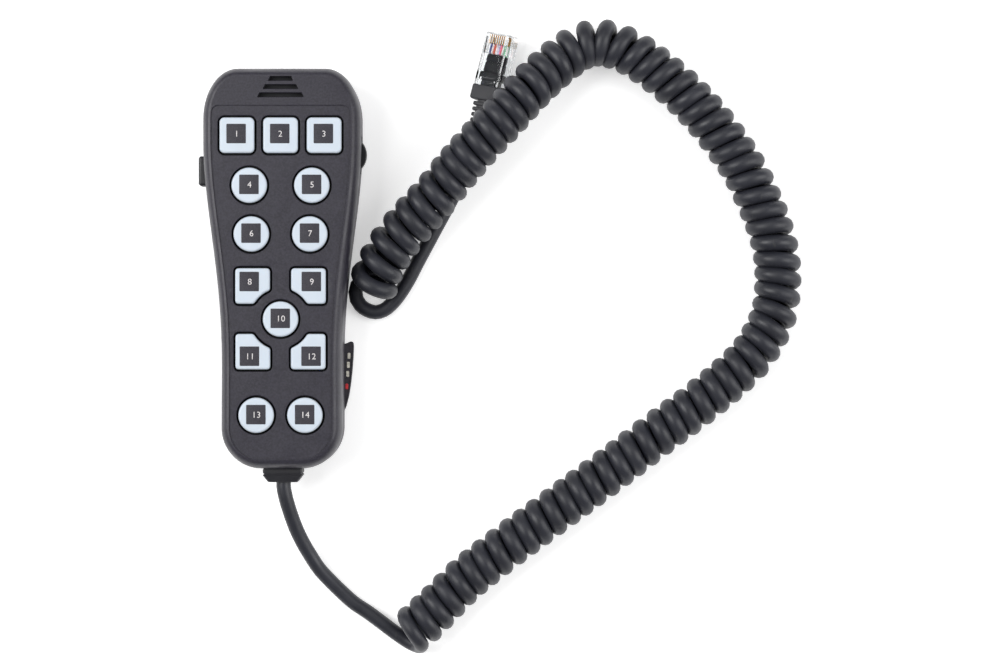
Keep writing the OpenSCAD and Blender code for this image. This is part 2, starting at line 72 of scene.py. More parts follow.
# The cord thickens to its wound size from so far after its start until so far before its end.
WOUND_AFTER = 0.1
WOUND_BEFORE = 0.105
# The coil is stretched unevenly: (turn, how far along its middle line it is reached, in millimetres)
COIL_MARKS = [(0, 0), (17, 112), (45, 301.5), (55, 371.5), (62, 414), (69.5, 468.5)]
# The last turns lean forwards over the loop of the tail, by so many degrees at the end.
END_LEAN = 24

LEAD_ROUTE = [
    (0, -0.082, 0.01325), (0, -0.0841, 0.01325), (0, -0.086, 0.01325), (0.0005, -0.089, 0.013),
    (0.0013, -0.0925, 0.0123), (0.0026, -0.097, 0.011), (0.0044, -0.1025, 0.0092), (0.007, -0.1085, 0.0072),
    (0.01, -0.114, 0.0054), (0.0135, -0.1195, 0.0042), (0.0175, -0.124, 0.0034), (0.022, -0.1285, 0.003),
    (0.027, -0.133, 0.0029), (0.0335, -0.1374, 0.0029), (0.039, -0.1415, 0.0029), (0.0445, -0.1456, 0.0029),
    (0.049, -0.1486, 0.0032),
]
INTO_COIL = [(0.0515, -0.1498, 0.0041), (0.0532, -0.1501, 0.0059), (0.0541, -0.1498, 0.0078)]
COIL_ROUTE = [
    (0.05, -0.1442, 0.0096), (0.0582, -0.1367, 0.0096), (0.0717, -0.1232, 0.0096),
    (0.0867, -0.1112, 0.0096), (0.1022, -0.0997, 0.0096), (0.1172, -0.0887, 0.0096),
    (0.1327, -0.0772, 0.0096), (0.1477, -0.0657, 0.0096), (0.1632, -0.0542, 0.0096),
    (0.1777, -0.0422, 0.0096), (0.1848, -0.0352, 0.0096), (0.1903, -0.027, 0.0096),
    (0.1943, -0.018, 0.0096), (0.1958, -0.008, 0.0096), (0.1958, 0.0015, 0.0096), (0.1943, 0.011, 0.0096),
    (0.1915, 0.02, 0.0096), (0.188, 0.0285, 0.0096), (0.184, 0.037, 0.0096), (0.1735, 0.053, 0.0096),
    (0.161, 0.0675, 0.0096), (0.154, 0.074, 0.0096), (0.1465, 0.08, 0.0096), (0.1385, 0.0855, 0.0096),
    (0.132, 0.0885, 0.0096), (0.125, 0.09, 0.0097), (0.118, 0.0885, 0.0102), (0.1116, 0.0843, 0.0117),
    (0.1044, 0.0781, 0.0144), (0.0955, 0.069, 0.0182), (0.0867, 0.059, 0.0198), (0.0776, 0.0495, 0.0193),
    (0.0689, 0.0397, 0.0173), (0.0603, 0.0293, 0.015), (0.0512, 0.0194, 0.0128), (0.0427, 0.009, 0.0113),
    (0.039, 0.0026, 0.0112), (0.0367, -0.0022, 0.0114), (0.0352, -0.0072, 0.0116),
]
TAIL_ROUTE = [
    (0.0404, -0.0082, 0.0066), (0.038, -0.0065, 0.004), (0.0352, -0.0046, 0.003), (0.0327, -0.0038, 0.0029),
    (0.0302, -0.0044, 0.0029), (0.0284, -0.0063, 0.0029), (0.0278, -0.009, 0.0029),
    (0.0283, -0.0118, 0.0029), (0.0298, -0.0142, 0.0029), (0.0323, -0.016, 0.0029),
    (0.0358, -0.017, 0.0029), (0.039, -0.0162, 0.0029), (0.0417, -0.0142, 0.0029),
    (0.0442, -0.0114, 0.0029), (0.0462, -0.0086, 0.0029), (0.049, -0.004, 0.0029), (0.0524, 0.0026, 0.0029),
    (0.0562, 0.0097, 0.0029), (0.0601, 0.017, 0.0029), (0.0636, 0.0234, 0.0029), (0.0666, 0.029, 0.0029),
    (0.0695, 0.0352, 0.0029), (0.0719, 0.0408, 0.0032), (0.074, 0.0458, 0.0043), (0.0756, 0.0498, 0.0059),
    (0.07683, 0.05348, 0.0068), (0.07739, 0.05571, 0.0068), (0.0779, 0.0577, 0.0068),
]


def smooth_line(points, step):
    """Points about a step apart on a smooth curve through the given points."""
    points = [Vector(p) for p in points]
    gaps = [(b - a).length for a, b in zip(points, points[1:])]
    slopes = [(b - a) / g for a, b, g in zip(points, points[1:], gaps)]
    tangents = [slopes[0]]
    for i in range(1, len(points) - 1):
        near, far = gaps[i - 1], gaps[i]
        tangents.append((slopes[i - 1] * far + slopes[i] * near) / (near + far))
    tangents.append(slopes[-1])
    line = [points[0]]
    for a, b, ta, tb, gap in zip(points, points[1:], tangents, tangents[1:], gaps):
        count = max(1, round(gap / step))
        for k in range(1, count + 1):
            t = k / count
            line.append(a * (2 * t**3 - 3 * t**2 + 1) + ta * gap * (t**3 - 2 * t**2 + t)
                        + b * (3 * t**2 - 2 * t**3) + tb * gap * (t**3 - t**2))
    return line


def smooth(t):
    """0 before 0, 1 after 1, and an even rise between them."""
    t = max(0.0, min(1.0, t))
    return t * t * (3 - 2 * t)


def coil_distance(turn):
    """How far along the coil's middle line a turn has come."""
    for (first, start), (last, end) in zip(COIL_MARKS, COIL_MARKS[1:]):
        if turn <= last:
            return (start + (end - start) * (turn - first) / (last - first)) * MM
    return COIL_MARKS[-1][1] * MM


def coil_points():
    """The left-handed helix round the coil's middle line, a little uneven and looser at its ends."""
    axis = smooth_line(COIL_ROUTE, 0.5 * MM)
    reach = [0.0]
    for a, b in zip(axis, axis[1:]):
        reach.append(reach[-1] + (b - a).length)
    turns = COIL_MARKS[-1][0]
    points, j = [], 0
    for i in range(round(turns * STEPS_PER_TURN) + 1):
        turn = i / STEPS_PER_TURN
        ends = smooth(turn / 3) * smooth((turns - turn) / 3)
        uneven = 0.22 * math.sin(1.7 * turn) + 0.16 * math.sin(0.63 * turn + 1)
        at = min(coil_distance(turn) + ends * uneven * MM, reach[-1])
        while j < len(axis) - 2 and reach[j + 1] < at:
            j += 1
        while j > 0 and reach[j] > at:
            j -= 1
        share = (at - reach[j]) / (reach[j + 1] - reach[j])
        ahead = (axis[min(j + 3, len(axis) - 1)] - axis[max(j - 2, 0)]).normalized()
        outer = ahead.cross(Vector((0, 0, 1))).normalized()
        lean = math.radians(END_LEAN) * smooth((turn - turns + 2.3) / 2.3)
        up = outer.cross(ahead) * math.cos(lean) + ahead * math.sin(lean)
        angle = 2 * math.pi * turn
        loose = (0.45 * (1 - smooth(turn / 3)) + 0.25 * smooth((turn - 45) / 8)
                 + 0.35 * smooth((turn - 61) / 6)) * MM
        r = COIL_MEAN_R + loose
        middle = axis[j].lerp(axis[j + 1], share) + Vector((0, 0, loose - 0.15 * MM))
        points.append(middle + r * (math.cos(angle) * outer + math.sin(angle) * up))
    return points


def make_cord():
    """The whole cord as one open spline, a little thicker where it is wound."""
    line = smooth_line([*LEAD_ROUTE, *INTO_COIL, *coil_points(), *TAIL_ROUTE], CORD_STEP)
    reach = [0.0]
    for a, b in zip(line, line[1:]):
        reach.append(reach[-1] + (b - a).length)
    curve = bpy.data.curves.new("cord", "CURVE")
    curve.dimensions = "3D"
    # A curve's box takes its points' radii in metres, so the bevel is 1 and each radius is the real one.
    curve.bevel_depth = 1
    curve.bevel_resolution = 5
    curve.use_fill_caps = True
    spline = curve.splines.new("POLY")
    spline.points.add(len(line) - 1)
    for point, place, at in zip(spline.points, line, reach):
        wound = smooth((at - WOUND_AFTER) / 0.03) * smooth((reach[-1] - at - WOUND_BEFORE) / 0.02)
        point.co = (*place, 1)
        point.radius = (CORD_D + (WOUND_CORD_D - CORD_D) * wound) / 2
    cord = bpy.data.objects.new("cord", curve)
    scene.collection.objects.link(cord)
    return cord


cord = make_cord()
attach(cord, "handset")
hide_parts("cord_lead", "cord_coil", "cord_tail")

# ---------------------------------------------------------------------------------------------------------
# Materials
# ---------------------------------------------------------------------------------------------------------


class Surface:
    """A procedural material: a Principled shader with helpers for grain, blotches and wear."""

    def __init__(self, name, colour, roughness, **sockets):
        self.material = bpy.data.materials.new(name)
        self.material.use_nodes = True
        tree = self.material.node_tree
        self.tree_nodes, self.links = tree.nodes, tree.links
        self.shader = self.tree_nodes["Principled BSDF"]
        self.colour = colour
        self.roughness = roughness
        self.shader.inputs["Base Color"].default_value = (*colour, 1)
        self.shader.inputs["Roughness"].default_value = roughness
        for socket, value in sockets.items():
            self.shader.inputs[socket.replace("_", " ")].default_value = value
        self.place = self.tree_nodes.new("ShaderNodeTexCoord").outputs["Object"]
        self.normal = None
        self.tint = None

    def noise(self, size, detail=2.0, stretch=(1, 1, 1)):
        """Noise whose blotches are about size metres across."""
        place = self.place
        if stretch != (1, 1, 1):
            mapping = self.tree_nodes.new("ShaderNodeMapping")
            mapping.inputs["Scale"].default_value = stretch
            self.links.new(place, mapping.inputs["Vector"])
            place = mapping.outputs["Vector"]
        noise = self.tree_nodes.new("ShaderNodeTexNoise")
        noise.inputs["Scale"].default_value = 1 / size
        noise.inputs["Detail"].default_value = detail
        self.links.new(place, noise.inputs["Vector"])
        return noise.outputs["Fac"]

    def cells(self, size):
        """Distance to the nearest of many scattered points about size metres apart."""
        voronoi = self.tree_nodes.new("ShaderNodeTexVoronoi")
        voronoi.inputs["Scale"].default_value = 1 / size
        self.links.new(self.place, voronoi.inputs["Vector"])
        return voronoi.outputs["Distance"]

    def bump(self, height, depth, strength=1.0):
        """Adds relief of depth metres; several calls add up."""
        bump = self.tree_nodes.new("ShaderNodeBump")
        bump.inputs["Strength"].default_value = strength
        bump.inputs["Distance"].default_value = depth
        self.links.new(height, bump.inputs["Height"])
        if self.normal:
            self.links.new(self.normal, bump.inputs["Normal"])
        self.normal = bump.outputs["Normal"]
        self.links.new(self.normal, self.shader.inputs["Normal"])
        return self

    def spread(self, value, low, high):
        """The value 0.35 to 0.65 spread over low to high."""
        span = self.tree_nodes.new("ShaderNodeMapRange")
        for socket, number in (("From Min", 0.35), ("From Max", 0.65), ("To Min", low), ("To Max", high)):
            span.inputs[socket].default_value = number
        self.links.new(value, span.inputs["Value"])
        return span.outputs["Result"]

    def vary_roughness(self, value, amount):
        """Roughness that goes up and down by amount."""
        rough = self.spread(value, self.roughness - amount, self.roughness + amount)
        self.links.new(rough, self.shader.inputs["Roughness"])
        return self

    def mix_colour(self, factor, other):
        """Mixes another colour in where factor is 1."""
        mix = self.tree_nodes.new("ShaderNodeMix")
        mix.data_type = "RGBA"
        mix.inputs["A"].default_value = (*self.colour, 1)
        mix.inputs["B"].default_value = (*other, 1)
        if self.tint:
            self.links.new(self.tint, mix.inputs["A"])
        self.links.new(factor, mix.inputs["Factor"])
        self.tint = mix.outputs["Result"]
        self.links.new(self.tint, self.shader.inputs["Base Color"])
        return self

    def mottle(self, size, share):
        """Light and dark blotches of the base colour."""
        other = tuple(c * (1 + share) for c in self.colour)
        return self.mix_colour(self.spread(self.noise(size), 0, 1), other)


def moulded(name, colour, roughness, grain=0.35 * MM, depth=0.02 * MM):
    """Moulded plastic with a fine spark-eroded texture."""
    surface = Surface(name, colour, roughness)
    surface.bump(surface.noise(grain, 3), depth)
    surface.bump(surface.noise(14 * MM, 1), 0.06 * MM, 0.5)
    surface.vary_roughness(surface.noise(9 * MM, 4), 0.05)
    return surface.mottle(22 * MM, 0.2).mottle(2.2 * grain, 0.75)


def rubber(name, colour, roughness, **sockets):
    """Soft rubber or PVC with a faint bloom and small dents."""
    surface = Surface(name, colour, roughness, **sockets)
    surface.bump(surface.noise(0.5 * MM, 3), 0.015 * MM)
    surface.bump(surface.noise(5 * MM, 2), 0.05 * MM, 0.6)
    surface.vary_roughness(surface.noise(6 * MM, 4), 0.07)
    return surface.mottle(11 * MM, 0.3)


def metal(name, colour, roughness):
    """Metal with fine tool marks."""
    surface = Surface(name, colour, roughness, Metallic=1.0)
    surface.bump(surface.noise(0.2 * MM, 3), 0.004 * MM)
    surface.vary_roughness(surface.noise(1.5 * MM, 3), 0.08)
    return surface.mottle(3 * MM, 0.12)


def clear_plastic(name):
    """Clear polycarbonate with faint flow marks."""
    surface = Surface(name, (0.96, 0.975, 0.98), 0.04, Transmission_Weight=1.0, IOR=1.28)
    surface.bump(surface.noise(2.2 * MM, 2, (1, 0.4, 1)), 0.02 * MM, 0.5)
    surface.vary_roughness(surface.noise(3 * MM, 3), 0.03)
    return surface


def scuffed(surface, colour, size, share):
    """Adds thin scuffs of another colour, where stretched noise is high."""
    spots = surface.noise(size, 5, (1, 0.35, 1))
    ramp = surface.tree_nodes.new("ShaderNodeMapRange")
    ramp.inputs["From Min"].default_value = 0.66
    ramp.inputs["From Max"].default_value = 0.78
    ramp.inputs["To Max"].default_value = share
    surface.links.new(spots, ramp.inputs["Value"])
    return surface.mix_colour(ramp.outputs["Result"], colour)


CASE_BLACK = (0.019, 0.0175, 0.0255)
case_look = moulded("case_plastic", CASE_BLACK, 0.42, depth=0.035 * MM)
button_look = moulded("button_plastic", (0.008, 0.008, 0.011), 0.45)
wheel_look = moulded("wheel_plastic", (0.007, 0.007, 0.009), 0.4, depth=0.01 * MM)
badge_look = moulded("badge_plate", (0.03, 0.028, 0.034), 0.35, depth=0.006 * MM)
badge_pale = moulded("badge_pale_ink", (0.55, 0.53, 0.46), 0.5, depth=0.004 * MM)
badge_red = moulded("badge_red_ink", (0.5, 0.03, 0.035), 0.45, depth=0.004 * MM)
key_look = Surface("key_silicone", (0.62, 0.69, 0.77), 0.42, Subsurface_Weight=0.15)
key_look.shader.inputs["Subsurface Radius"].default_value = (1.2 * MM, 1.5 * MM, 1.8 * MM)
key_look.shader.inputs["Subsurface Scale"].default_value = 1.0
key_look.bump(key_look.noise(0.35 * MM, 3), 0.008 * MM).mottle(6 * MM, 0.03)
key_look.vary_roughness(key_look.noise(4 * MM, 3), 0.06)
# Painted shade: near-black on each key's flange and lower side walls, standing in for the shadow in the gaps
# round the keys.
skirt_painted_shade_look = rubber("key_skirt_painted_shade", (0.006, 0.006, 0.007), 0.6)
print_look = moulded("key_print", (0.022, 0.0205, 0.028), 0.6, grain=0.2 * MM, depth=0.012 * MM)
digit_look = moulded("key_digits", (0.5, 0.48, 0.48), 0.6, grain=0.2 * MM, depth=0.006 * MM)
cord_look = rubber("cord_jacket", (0.0165, 0.0175, 0.0245), 0.46)
scuffed(cord_look, (0.07, 0.068, 0.062), 2.6 * MM, 0.8)
gland_look = rubber("gland_rubber", (0.014, 0.014, 0.018), 0.5)
boot_look = rubber("boot_rubber", (0.016, 0.016, 0.02), 0.5)
jacket_look = rubber("jacket_rubber", (0.002, 0.0025, 0.006), 0.35, Specular_IOR_Level=0.25)
seal_look = rubber("seal_rubber", (0.003, 0.003, 0.004), 0.6)
# Partly painted shade: near-black is a plausible colour for the mat, and it is chosen so that the gaps round
# the keys read as shadow.
mat_shade_look = rubber("mat_silicone_dark_for_shade", (0.012, 0.012, 0.014), 0.55)
clear_look = clear_plastic("clear_plastic")
gold_look = metal("gold_flash", (0.56, 0.3, 0.09), 0.35)
steel_look = metal("zinc_plated_steel", (0.6, 0.6, 0.62), 0.32)
brass_look = metal("turned_brass", (0.78, 0.56, 0.25), 0.3)
can_look = metal("drawn_aluminium", (0.75, 0.75, 0.76), 0.35)
board_look = moulded("solder_mask", (0.01, 0.09, 0.045), 0.3, grain=0.6 * MM, depth=0.006 * MM)
chip_look = moulded("chip_epoxy", (0.012, 0.012, 0.013), 0.5, grain=0.15 * MM, depth=0.008 * MM)
socket_look = moulded("socket_nylon", (0.62, 0.58, 0.48), 0.45)
lens_look = moulded("led_lens", (0.85, 0.83, 0.6), 0.2, depth=0.003 * MM)
cloth_look = Surface("acoustic_cloth", (0.012, 0.012, 0.014), 0.9)
cloth_look.bump(cloth_look.cells(0.25 * MM), 0.05 * MM).mottle(3 * MM, 0.4)


def paint(obj, *looks):
    """Gives an object these materials, in place of what it has."""
    obj.data.materials.clear()
    for look in looks:
        obj.data.materials.append(look.material)


paint(cord, cord_look)

# ---------------------------------------------------------------------------------------------------------
# Mesh helpers
# ---------------------------------------------------------------------------------------------------------


def grown(loop, amount):
    """A closed outline moved outwards by amount, along the normals at its points."""
    count = len(loop)
    area = sum(loop[i - 1][0] * loop[i][1] - loop[i][0] * loop[i - 1][1] for i in range(count))
    side = 1 if area > 0 else -1
    moved = []
    for i, (x, y) in enumerate(loop):
        (x0, y0), (x1, y1) = loop[i - 1], loop[(i + 1) % count]
        before = Vector((y - y0, x0 - x)).normalized()
        after = Vector((y1 - y, x - x1)).normalized()
        normal = (before + after).normalized()
        step = side * amount / max(0.5, normal.dot(before))
        moved.append((x + normal.x * step, y + normal.y * step))
    return moved


def softened(loop, spacing, reach):
    """The outline again with even points, its corners rounded over about reach points to each side."""
    closed = [Vector(p) for p in loop] + [Vector(loop[0])]
    lengths = [0.0]
    for a, b in zip(closed, closed[1:]):
        lengths.append(lengths[-1] + (b - a).length)
    count = max(8, round(lengths[-1] / spacing))
    even, j = [], 0
    for k in range(count):
        at = lengths[-1] * k / count
        while lengths[j + 1] <= at:
            j += 1
        even.append(closed[j].lerp(closed[j + 1], (at - lengths[j]) / (lengths[j + 1] - lengths[j])))
    window = range(-reach, reach + 1)
    return [tuple(sum((even[(k + d) % count] for d in window), Vector((0, 0))) / len(window))
            for k in range(count)]


def circle(x, y, r, count):
    """Even points round (x, y)."""
    return [(x + r * math.cos(2 * math.pi * k / count), y + r * math.sin(2 * math.pi * k / count))
            for k in range(count)]


def rounded_box(x, y, width, height, r, steps=6):
    """The outline of a rounded rectangle round (x, y)."""
    loop = []
    for sx, sy, first in ((1, 1, 0), (-1, 1, 90), (-1, -1, 180), (1, -1, 270)):
        for k in range(steps + 1):
            a = math.radians(first + 90 * k / steps)
            loop.append((x + sx * (width / 2 - r) + r * math.cos(a),
                         y + sy * (height / 2 - r) + r * math.sin(a)))
    return loop


def ring(bm, loop, z):
    """The vertices of an outline at a height z."""
    return [bm.verts.new((x, y, z)) for x, y in loop]


def strip(bm, a, b, material=0):
    """Faces between two rings with the same number of points."""
    for i in range(len(a)):
        k = (i + 1) % len(a)
        face = bm.faces.new((a[i], a[k], b[k], b[i]))
        face.material_index = material


def strips(bm, rings, material=0):
    """Faces from each ring to the next."""
    for a, b in zip(rings, rings[1:]):
        strip(bm, a, b, material)


def plate(bm, outer, holes=(), material=0):
    """A flat face inside the outer ring, with holes."""
    loops = [outer, *holes]
    flat = [v for loop in loops for v in loop]
    for triangle in tessellate_polygon([[v.co for v in loop] for loop in loops]):
        face = bm.faces.new([flat[i] for i in triangle])
        face.material_index = material


def rounding(radius, steps):
    """(inwards, down) pairs of a quarter round, from the side to the top."""
    angles = [math.radians(90 * k / steps) for k in range(steps + 1)]
    return [(radius * (1 - math.cos(a)), radius * (1 - math.sin(a))) for a in angles]


def turned(bm, profile, x, y, count=32, material=0):
    """A solid of revolution about the vertical through (x, y); profile is [(radius, z), ...]."""
    rings = [ring(bm, circle(x, y, r, count), z) for r, z in profile]
    strips(bm, rings, material)
    plate(bm, rings[0], material=material)
    plate(bm, rings[-1], material=material)


def finished(name, bm, *looks, smooth_angle=35, place=None, weighted=True):
    """A mesh object from bm, with outward normals and smooth shading up to an angle."""
    bmesh.ops.remove_doubles(bm, verts=bm.verts, dist=1e-7)
    bmesh.ops.recalc_face_normals(bm, faces=bm.faces)
    if place:
        bm.transform(place)
    mesh = bpy.data.meshes.new(name)
    bm.to_mesh(mesh)
    bm.free()
    obj = bpy.data.objects.new(name, mesh)
    scene.collection.objects.link(obj)
    for look in looks:
        mesh.materials.append(look.material)
    shade(obj, smooth_angle, weighted)
    return obj


def shade(obj, smooth_angle=35, weighted=True):
    """Smooth shading up to an angle, weighted by the faces' areas."""
    obj.data.shade_smooth()
    obj.data.set_sharp_from_angle(angle=math.radians(smooth_angle))
    if weighted:
        normals = obj.modifiers.new("weighted_normals", "WEIGHTED_NORMAL")
        normals.keep_sharp = True


def baked(obj):
    """Applies the modifiers of an object to its mesh."""
    graph = bpy.context.evaluated_depsgraph_get()
    mesh = bpy.data.meshes.new_from_object(obj.evaluated_get(graph))
    obj.modifiers.clear()
    obj.data = mesh
    return obj


def carve(obj, *cutters):
    """Cuts the cutters' shapes out of an object and removes the cutters."""
    for cutter in cutters:
        cut = obj.modifiers.new("cut", "BOOLEAN")
        cut.operation = "DIFFERENCE"
        cut.solver = "EXACT"
        cut.object = cutter
    baked(obj)
    for cutter in cutters:
        bpy.data.objects.remove(cutter)
    return obj


def block(name, low, high, bevel=0.0, segments=3):
    """A box from low to high with rounded edges, as an object."""
    bm = bmesh.new()
    rings = [ring(bm, [(low[0], low[1]), (high[0], low[1]), (high[0], high[1]), (low[0], high[1])], z)
             for z in (low[2], high[2])]
    strips(bm, rings)
    plate(bm, rings[0])
    plate(bm, rings[1])
    if bevel:
        bmesh.ops.recalc_face_normals(bm, faces=bm.faces)
        bmesh.ops.bevel(bm, geom=bm.edges[:], offset=bevel, segments=segments, profile=0.5, affect="EDGES")
    return finished(name, bm, weighted=False)


# ---------------------------------------------------------------------------------------------------------
# Handset shells
# ---------------------------------------------------------------------------------------------------------
HALF_LENGTH = 78.5 * MM
HANDSET_WIDTH = 61.8 * MM
WAIST_WIDTH = 47.2 * MM
HANDSET_THICK = 27 * MM
SEAM_Z = 13 * MM
FRONT_Z = 13.5 * MM
FRONT_FLOOR_Z = 24.3 * MM
WALL = 2.2 * MM
TOP_CORNER = (13.7 * MM, 20 * MM)
BOTTOM_CORNER = (15.8 * MM, 16 * MM)
FRONT_EDGE = (3.6 * MM, 7 * MM)
REAR_EDGE = (4 * MM, 6 * MM)
RECESS_INSET = 3.7 * MM
RECESS_TOP_Y = 63.5 * MM
RECESS_DEPTH = 0.5 * MM
RECESS_CORNER_R = 3 * MM
MIC_SLOTS = [(74 * MM, 9.8 * MM), (70.8 * MM, 13.9 * MM), (67.6 * MM, 18.2 * MM)]
SLOT_HEIGHT = 1.7 * MM
CORD_Z = 13.25 * MM
GLAND_HOLE_R = 5.15 * MM
# Local +Z runs out of the handset's foot along the cord, and local +Y runs up.
AT_FOOT = (Matrix.Translation((0, -HALF_LENGTH, CORD_Z))
           @ Matrix(((1, 0, 0, 0), (0, 0, -1, 0), (0, 1, 0, 0), (0, 0, 0, 1))))
CASE_POSTS = [(-21 * MM, 66 * MM), (21 * MM, 66 * MM), (-17 * MM, -67 * MM), (17 * MM, -67 * MM)]
BOARD_POSTS = [(0, 23 * MM), (0, -46 * MM), (-22.5 * MM, 20 * MM), (22.5 * MM, 20 * MM)]
INSERT_Y = 35 * MM
CLAMP_Y = -68.5 * MM
BOARD_TOP = 17 * MM


def side_x(y):
    """Half width of the handset at a height y between its corners."""
    rise = max(0.0, (y + 40 * MM) / (90 * MM))
    return (WAIST_WIDTH / 2 + (HANDSET_WIDTH - WAIST_WIDTH) / 2 * smooth(rise**1.2)
            + 0.1 * MM * smooth((-40 * MM - y) / (18 * MM)))


def right_side(inset):
    """The right half of the handset's outline, from the top to the bottom."""
    side = []
    for k in range(25):
        a = math.radians(90 - 3.75 * k)
        side.append((HANDSET_WIDTH / 2 - TOP_CORNER[0] + (TOP_CORNER[0] - inset) * math.cos(a),
                     HALF_LENGTH - TOP_CORNER[1] + (TOP_CORNER[1] - inset) * math.sin(a)))
    for k in range(28):
        y = (55 - 4.2 * k) * MM
        side.append((side_x(y) - inset, y))
    for k in range(25):
        a = math.radians(-3.75 * k)
        side.append((side_x(-HALF_LENGTH) - BOTTOM_CORNER[0] + (BOTTOM_CORNER[0] - inset) * math.cos(a),
                     BOTTOM_CORNER[1] - HALF_LENGTH + (BOTTOM_CORNER[1] - inset) * math.sin(a)))
    return side


def both_sides(side):
    """A closed outline from its right half."""
    return side + [(-x, y) for x, y in reversed(side)]


def outline(inset):
    """The handset's outline, moved inwards by inset."""
    return both_sides(right_side(inset))


def recess_outline():
    """The keypad recess: the outline moved in, closed by a straight line under the microphone slots."""
    side = [p for p in right_side(RECESS_INSET) if p[1] < RECESS_TOP_Y - RECESS_CORNER_R]
    corner_x = side[0][0] - RECESS_CORNER_R
    corner = [(corner_x + RECESS_CORNER_R * math.cos(math.radians(a)),
               RECESS_TOP_Y - RECESS_CORNER_R + RECESS_CORNER_R * math.sin(math.radians(a)))
              for a in range(90, 0, -10)]
    return both_sides(corner + side)


def slot_outline(y, length):
    """One slanted-ended microphone slot."""
    half, lean = length / 2, SLOT_HEIGHT / 2
    corners = [(-half, y - lean), (half, y - lean), (half - lean, y + lean), (lean - half, y + lean)]
    return softened(corners, 0.12 * MM, 2)


def rounded_hole(bm, loop, z, depth, lip):
    """The wall of a hole that goes down from z, with a rounded lip. Returns its first and last rings."""
    rings = [ring(bm, grown(loop, across), z - down) for across, down in reversed(rounding(lip, 4))]
    rings.append(ring(bm, loop, z - depth))
    strips(bm, rings)
    return rings[0], rings[-1]


# ---------------------------------------------------------------------------------------------------------
# Keys
# ---------------------------------------------------------------------------------------------------------
KEY_TOP_Z = 28 * MM
ROUND_KEY_R = 6.9 * MM
SQUARE_KEY = (13.5 * MM, 13.9 * MM)
SQUARE_KEY_CORNER = 1.9 * MM
BITTEN_KEY_CORNER = 1 * MM
BITE_R = 12 * MM
KEY_GAP = 0.8 * MM
KEY_EDGE_R = 0.9 * MM
MIDDLE_KEY = Vector((0, -19.9 * MM))
PRINT_SIZE = 7.6 * MM
DIGIT_HEIGHT = 2.3 * MM
# The height of the font's digits, as a share of its size
DIGIT_SHARE = 0.69
KEYS = [(x * MM, y * MM, shape) for x, y, shape in [
    (-17, 51.8, "square"), (0, 51.8, "square"), (17, 51.8, "square"),
    (-12.2, 32.3, "round"), (12.2, 32.3, "round"),
    (-11.4, 13.3, "round"), (11.4, 13.3, "round"),
    (-10.9, -7, "corner"), (10.9, -7, "corner"),
    (0, -19.9, "round"),
    (-10.8, -32.6, "corner"), (10.8, -32.6, "corner"),
    (-9.5, -57.4, "round"), (9.5, -57.4, "round"),
]]


def key_outline(key):
    """A key's outline. A corner key has a round bite towards the middle key."""
    x, y, shape = key
    if shape == "round":
        return circle(x, y, ROUND_KEY_R, 72)
    if shape == "square":
        return rounded_box(x, y, *SQUARE_KEY, SQUARE_KEY_CORNER, 8)
    loop = softened(rounded_box(x, y, *SQUARE_KEY, BITTEN_KEY_CORNER, 8), 0.25 * MM, 0)
    free = [(Vector(p) - MIDDLE_KEY).length > BITE_R for p in loop]
    first = next(i for i in range(len(loop)) if free[i] and not free[i - 1])
    kept = [loop[(first + i) % len(loop)] for i in range(sum(free))]
    a, b = (Vector(p) - MIDDLE_KEY for p in (kept[-1], kept[0]))
    start, turn = math.atan2(a.y, a.x), a.angle_signed(b)
    arc = [(MIDDLE_KEY.x + BITE_R * math.cos(start - turn * k / 16),
            MIDDLE_KEY.y + BITE_R * math.sin(start - turn * k / 16)) for k in range(1, 16)]
    return softened(kept + arc, 0.25 * MM, 3)


def print_place(key):
    """The middle of the dark square printed on a key."""
    x, y, shape = key
    if shape != "corner":
        return (x, y + 0.3 * MM) if shape == "round" else (x - 0.2 * MM, y + 0.6 * MM)
    up = 1 if y > MIDDLE_KEY.y else -1
    return x + math.copysign(1.2 * MM, x), y + up * 1.75 * MM


def make_front_case():
    """The front shell: a lofted skin, a recessed keypad face with rounded holes, and screw posts inside."""
    bm = bmesh.new()
    heights = [(FRONT_Z, 0.25 * MM), (FRONT_Z + 0.25 * MM, 0)]
    for across, down in rounding(1, 12):
        heights.append((HANDSET_THICK - FRONT_EDGE[1] * down, FRONT_EDGE[0] * across))
    skin = [ring(bm, outline(inset), z) for z, inset in heights]
    strips(bm, skin)
    through = HANDSET_THICK - FRONT_FLOOR_Z
    slots = [rounded_hole(bm, slot_outline(y, length), HANDSET_THICK, through, 0.25 * MM)
             for y, length in MIC_SLOTS]
    recess = rounded_hole(bm, recess_outline(), HANDSET_THICK, RECESS_DEPTH, 0.2 * MM)
    plate(bm, skin[-1], [recess[0], *(slot[0] for slot in slots)])
    keyholes = [rounded_hole(bm, grown(key_outline(key), KEY_GAP), HANDSET_THICK - RECESS_DEPTH,
                             through - RECESS_DEPTH, 0.3 * MM) for key in KEYS]
    plate(bm, recess[1], [hole[0] for hole in keyholes])
    inside = [ring(bm, outline(WALL), z) for z in (FRONT_FLOOR_Z, FRONT_Z)]
    plate(bm, inside[0], [hole[1] for hole in [*slots, *keyholes]])
    strips(bm, [*inside, skin[0]])
    for posts, r, bore_r, low in ((CASE_POSTS, 3.2, 1.2, FRONT_Z), (BOARD_POSTS, 2.1, 0.8, BOARD_TOP)):
        for x, y in posts:
            turned(bm, [(bore_r * MM, low + 7.5 * MM), (bore_r * MM, low), (r * MM, low),
                        (r * MM, FRONT_FLOOR_Z + 0.2 * MM)], x, y)
    shell = finished("front_shell", bm, case_look, weighted=False)
    carve(shell, button_cutter(), gland_cutter())
    shade(shell)
    return shell


def button_cutter():
    """The window for the talk button, which both shells share."""
    low, high = (-36 * MM, 32.5 * MM, 6.1 * MM), (-22 * MM, 44.9 * MM, 15.3 * MM)
    return block("button_cutter", low, high)


